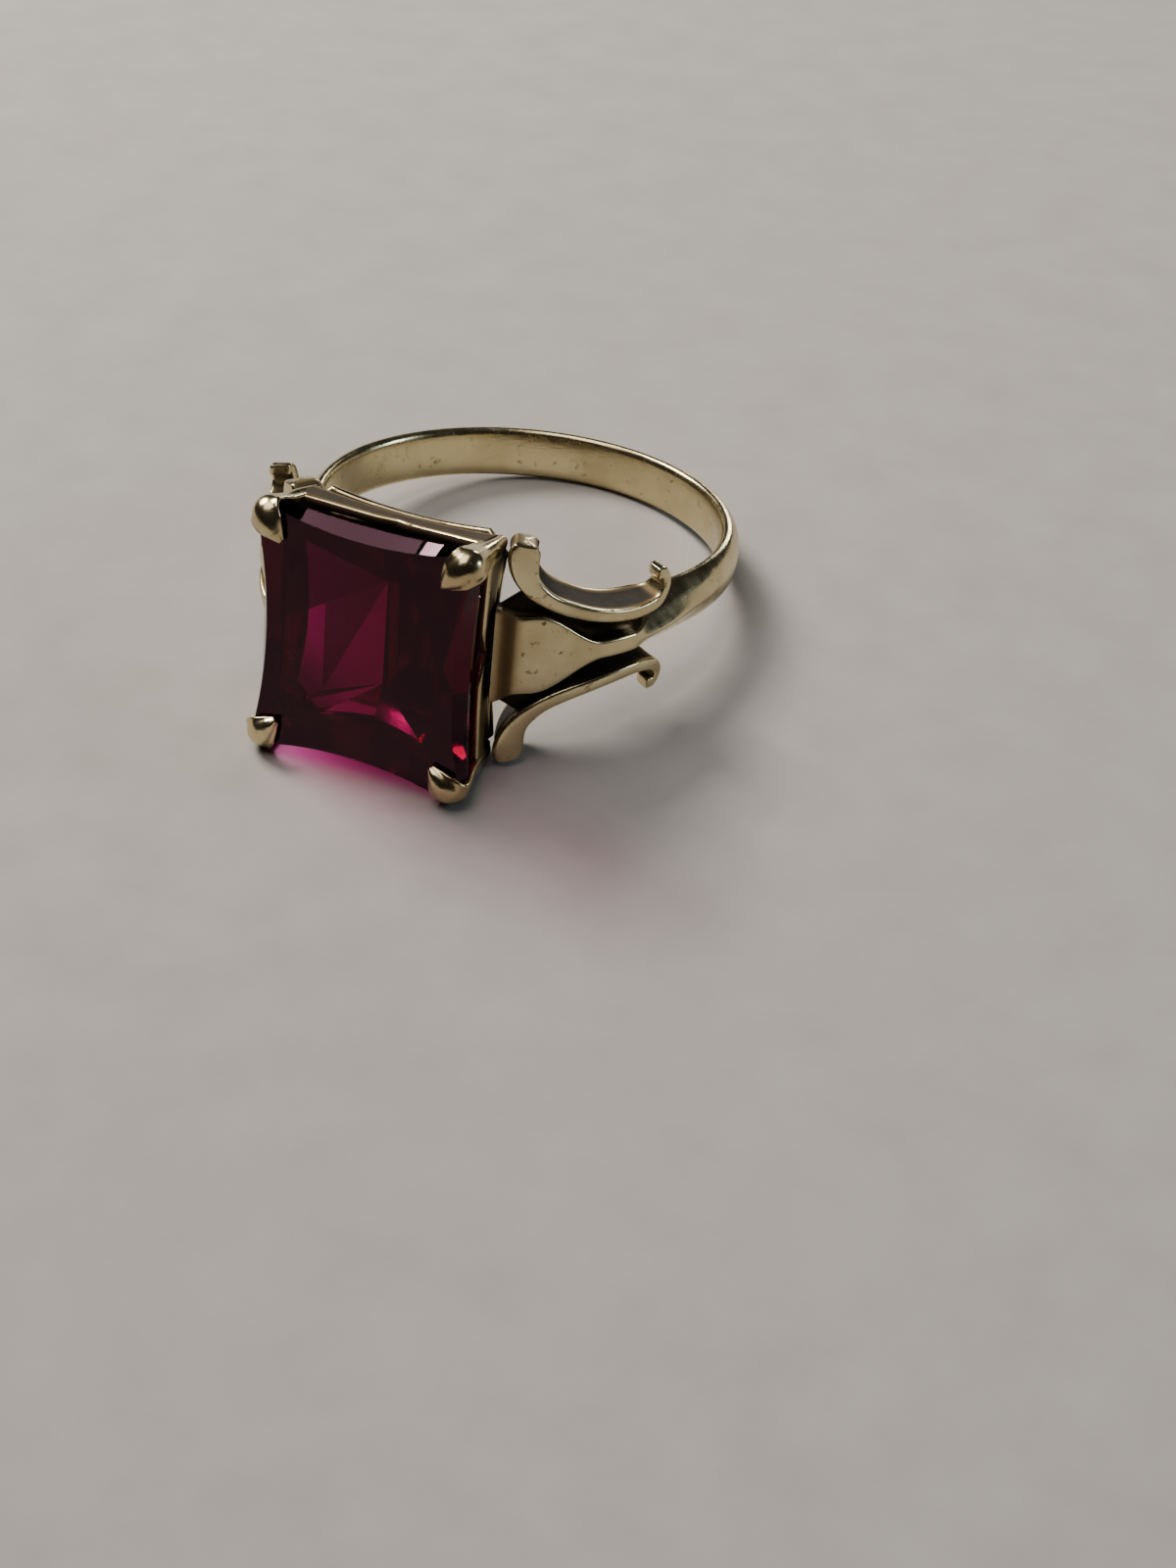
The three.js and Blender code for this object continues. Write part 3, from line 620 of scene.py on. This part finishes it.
def gold(name, base, shade, tarnish, rough):
    """Worn gold: base and shade mottle it, tarnish darkens spots. Crevices and the hollows marked on each
    piece get painted shade, brown then near black.
    """
    material, tree, shader = new_material(name)
    mottle = ramp(tree, noise(tree, 420, 4), (0.40, 0.0), (0.66, 1.0))
    worn = mix_colour(tree, mottle, (*base, 1), (*shade, 1))
    # Painted shade: crevices found by ambient occlusion, together with the hollows marked on each piece, go
    # brown and then near black, with less shine.
    open_sky = add_node(tree, "ShaderNodeAmbientOcclusion", samples=8, Distance=0.6 * MM)
    crevice_shade = ramp(tree, open_sky.outputs["AO"], (0.30, 1.0), (0.75, 0.0))
    hollow = add_node(tree, "ShaderNodeAttribute", attribute_name="painted_shade_and_tarnish").outputs["Fac"]
    painted_shade_and_tarnish = maths(tree, "MAXIMUM", crevice_shade, hollow)
    spots = ramp(tree, noise(tree, 2400, 6, 0.65), (0.60, 0.0), (0.76, tarnish))
    patchy = ramp(tree, noise(tree, 1500, 5, 0.6), (0.30, 0.94), (0.62, 1.0))
    # Real tarnish spots, joined with the painted shade of crevices and hollows.
    tarnish_and_painted_shade = maths(tree, "MAXIMUM", maths(tree, "MULTIPLY", painted_shade_and_tarnish, patchy), spots)
    brown = maths(tree, "MINIMUM", maths(tree, "MULTIPLY", tarnish_and_painted_shade, 2.0), 1.0)
    black = maths(tree, "MAXIMUM", maths(tree, "SUBTRACT", maths(tree, "MULTIPLY", tarnish_and_painted_shade, 2.0), 1.0), 0.0)
    stained_and_shaded = mix_colour(tree, brown, worn, (0.20, 0.13, 0.055, 1))
    tree.links.new(mix_colour(tree, black, stained_and_shaded, (0.012, 0.009, 0.005, 1)), shader.inputs["Base Color"])
    metal_share = maths(tree, "SUBTRACT", 1.0, maths(tree, "MULTIPLY", black, 0.9))
    tree.links.new(metal_share, shader.inputs["Metallic"])
    rub = ramp(tree, noise(tree, 1100, 6, 0.65), (0.30, rough), (0.72, rough + 0.14))
    tree.links.new(maths(tree, "ADD", rub, maths(tree, "MULTIPLY", tarnish_and_painted_shade, 0.65)), shader.inputs["Roughness"])
    scratches = noise(tree, 1600, 3, 0.6, stretch=(1, 1, 8))
    dents = noise(tree, 620, 3, 0.5)
    height = maths(tree, "ADD", maths(tree, "MULTIPLY", scratches, 0.35), dents)
    bump = add_node(tree, "ShaderNodeBump", Strength=0.30, Distance=0.05 * MM)
    tree.links.new(height, bump.inputs["Height"])
    tree.links.new(bump.outputs["Normal"], shader.inputs["Normal"])
    return material


def red_stone():
    material, tree, shader = new_material("red_stone")
    # Painted shade: each back facet's tint runs from red towards near black by its own value, more on the
    # upper facets.
    painted_facet_shade = add_node(tree, "ShaderNodeAttribute", attribute_name="painted_facet_shade").outputs["Fac"]
    tint = mix_colour(tree, painted_facet_shade, (0.54, 0.0, 0.26, 1), (0.02, 0.0, 0.01, 1))
    tree.links.new(tint, shader.inputs["Base Color"])
    shader.inputs["Transmission Weight"].default_value = 1.0
    shader.inputs["IOR"].default_value = 1.76
    shader.inputs["Specular Tint"].default_value = (0.42, 0.18, 0.26, 1)
    rub = ramp(tree, noise(tree, 1200, 5, 0.6), (0.35, 0.01), (0.75, 0.05))
    tree.links.new(rub, shader.inputs["Roughness"])
    depth = add_node(tree, "ShaderNodeVolumeAbsorption", Density=900.0)
    depth.inputs["Color"].default_value = (0.72, 0.0, 0.54, 1)
    output = tree.nodes["Material Output"]
    tree.links.new(depth.outputs["Volume"], output.inputs["Volume"])
    clear = add_node(tree, "ShaderNodeBsdfTransparent")
    choose = add_node(tree, "ShaderNodeMixShader")
    tree.links.new(add_node(tree, "ShaderNodeLightPath").outputs["Is Shadow Ray"], choose.inputs["Fac"])
    tree.links.new(shader.outputs["BSDF"], choose.inputs[1])
    tree.links.new(clear.outputs["BSDF"], choose.inputs[2])
    tree.links.new(choose.outputs["Shader"], output.inputs["Surface"])
    return material


FINISH = {
    "hoop_gold": gold("hoop_gold", (0.70, 0.60, 0.34), (0.56, 0.46, 0.25), 0.4, 0.16),
    "shoulder_gold": gold("shoulder_gold", (0.70, 0.61, 0.36), (0.54, 0.45, 0.25), 0.7, 0.14),
    "gallery_gold": gold("gallery_gold", (0.68, 0.58, 0.33), (0.48, 0.37, 0.20), 0.8, 0.14),
    "red_stone": red_stone(),
}
SLOT = {s["node"]: s["material_slot"] for s in frame["record"]["subparts"]}


# ---- assembly ----
def turned(piece, sign_x, sign_z):
    """The piece, mirrored across the ring's middle planes where a sign is -1."""
    if sign_x < 0 or sign_z < 0:
        piece.data.transform(Matrix.Diagonal((sign_x, 1, sign_z, 1)))
    if sign_x * sign_z < 0:
        piece.data.flip_normals()
    return piece


def settle(piece, node, sharp=40):
    """Puts a finished piece in the ring's place and ties it to the CAD node it stands for."""
    piece.name = f"{node}_piece"
    piece.data.name = piece.name
    piece.data.transform(RING @ Matrix.Scale(MM, 4))
    smooth_by_angle(piece, sharp)
    piece.data.materials.clear()
    piece.data.materials.append(FINISH[SLOT[node]])
    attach(piece, "root")
    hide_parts(node)


settle(make_hoop(), "shank_hoop")
stone_seat = make_stone(GAP)
for side, sign_x in (("right", 1), ("left", -1)):
    settle(turned(make_fan(), sign_x, 1), f"shoulder_fan_{side}")
    settle(turned(make_scroll(UPPER_CURL), sign_x, 1), f"scroll_upper_{side}")
    settle(turned(make_scroll(LOWER_CURL), sign_x, -1), f"scroll_lower_{side}")
    settle(turned(make_side_wall(), sign_x, 1), f"gallery_{side}")
    for level, sign_z in (("top", 1), ("bottom", -1)):
        claw = make_claw(sign_x, sign_z)
        carve(claw, stone_seat)
        settle(claw, f"claw_{level}_{side}")
for level, sign_z in (("top", 1), ("bottom", -1)):
    settle(turned(make_top_wall(), 1, sign_z), f"gallery_{level}")
settle(make_rail(), "base_rail")
settle(make_stone(), "stone", sharp=12)
bpy.data.objects.remove(stone_seat)


# ---- stage ----
def make_floor():
    reach = 0.6
    corners = [(-reach, -reach, 0), (reach, -reach, 0), (reach, reach, 0), (-reach, reach, 0)]
    floor = mesh_object("floor", corners, [(0, 1, 2, 3)])
    material, tree, shader = new_material("floor_paper")
    grain = ramp(tree, noise(tree, 300, 6, 0.6), (0.3, (0.42, 0.39, 0.355)), (0.7, (0.47, 0.44, 0.405)))
    tree.links.new(grain, shader.inputs["Base Color"])
    shader.inputs["Roughness"].default_value = 0.9
    floor.data.materials.append(material)
    return floor


make_floor()


def add_light(name, place, size, power, colour=(1, 1, 1)):
    light = bpy.data.lights.new(name, "AREA")
    light.shape = "RECTANGLE"
    light.size, light.size_y = size
    light.energy = power
    light.color = colour
    lamp = bpy.data.objects.new(name, light)
    lamp.location = place
    lamp.rotation_euler = (-Vector(place)).to_track_quat("-Z", "Y").to_euler()
    bpy.context.scene.collection.objects.link(lamp)


add_light("window", (-0.21, 0.09, 0.22), (0.12, 0.12), 1.15, (1.0, 0.96, 0.90))
add_light("ceiling", (-0.07, -0.02, 0.32), (0.26, 0.20), 0.5, (1.0, 0.95, 0.92))
add_light("cool side", (0.27, 0.12, 0.10), (0.05, 0.09), 0.22, (0.70, 0.86, 1.0))
add_light("back edge", (-0.03, 0.28, 0.05), (0.05, 0.02), 0.10, (1.0, 0.98, 0.88))

world = bpy.data.worlds.new("studio")
world.use_nodes = True
world.node_tree.nodes["Background"].inputs["Color"].default_value = (0.30, 0.31, 0.33, 1)
world.node_tree.nodes["Background"].inputs["Strength"].default_value = 0.06
bpy.context.scene.world = world

# ---- camera ----
CAMERA_AZIMUTH = math.radians(21.14)  # round the ring from the stone, to the right
CAMERA_ELEVATION = math.radians(29.56)
CAMERA_ROLL = math.radians(-6.07)
CAMERA_DISTANCE = 101.0 * MM
CAMERA_SLIDE = Vector((2.86, 10.97)) * MM  # to the right, and down
LENS = 54.0


def add_camera():
    level_cos = math.cos(CAMERA_ELEVATION)
    back = Vector((math.sin(CAMERA_AZIMUTH) * level_cos, -math.cos(CAMERA_AZIMUTH) * level_cos,
                   math.sin(CAMERA_ELEVATION)))
    level = (-back).cross(Vector((0, 0, 1))).normalized()
    plumb = (-back).cross(level)
    c, s = math.cos(CAMERA_ROLL), math.sin(CAMERA_ROLL)
    right = c * level + s * plumb
    down = c * plumb - s * level
    pose = Matrix((right, -down, back)).transposed().to_4x4()
    pose.translation = back * CAMERA_DISTANCE + right * CAMERA_SLIDE.x + down * CAMERA_SLIDE.y
    data = bpy.data.cameras.new("camera")
    data.lens = LENS
    data.sensor_width = 36.0
    data.clip_start = 0.005
    camera = bpy.data.objects.new("camera", data)
    camera.matrix_world = RING @ pose
    bpy.context.scene.collection.objects.link(camera)
    bpy.context.scene.camera = camera


add_camera()
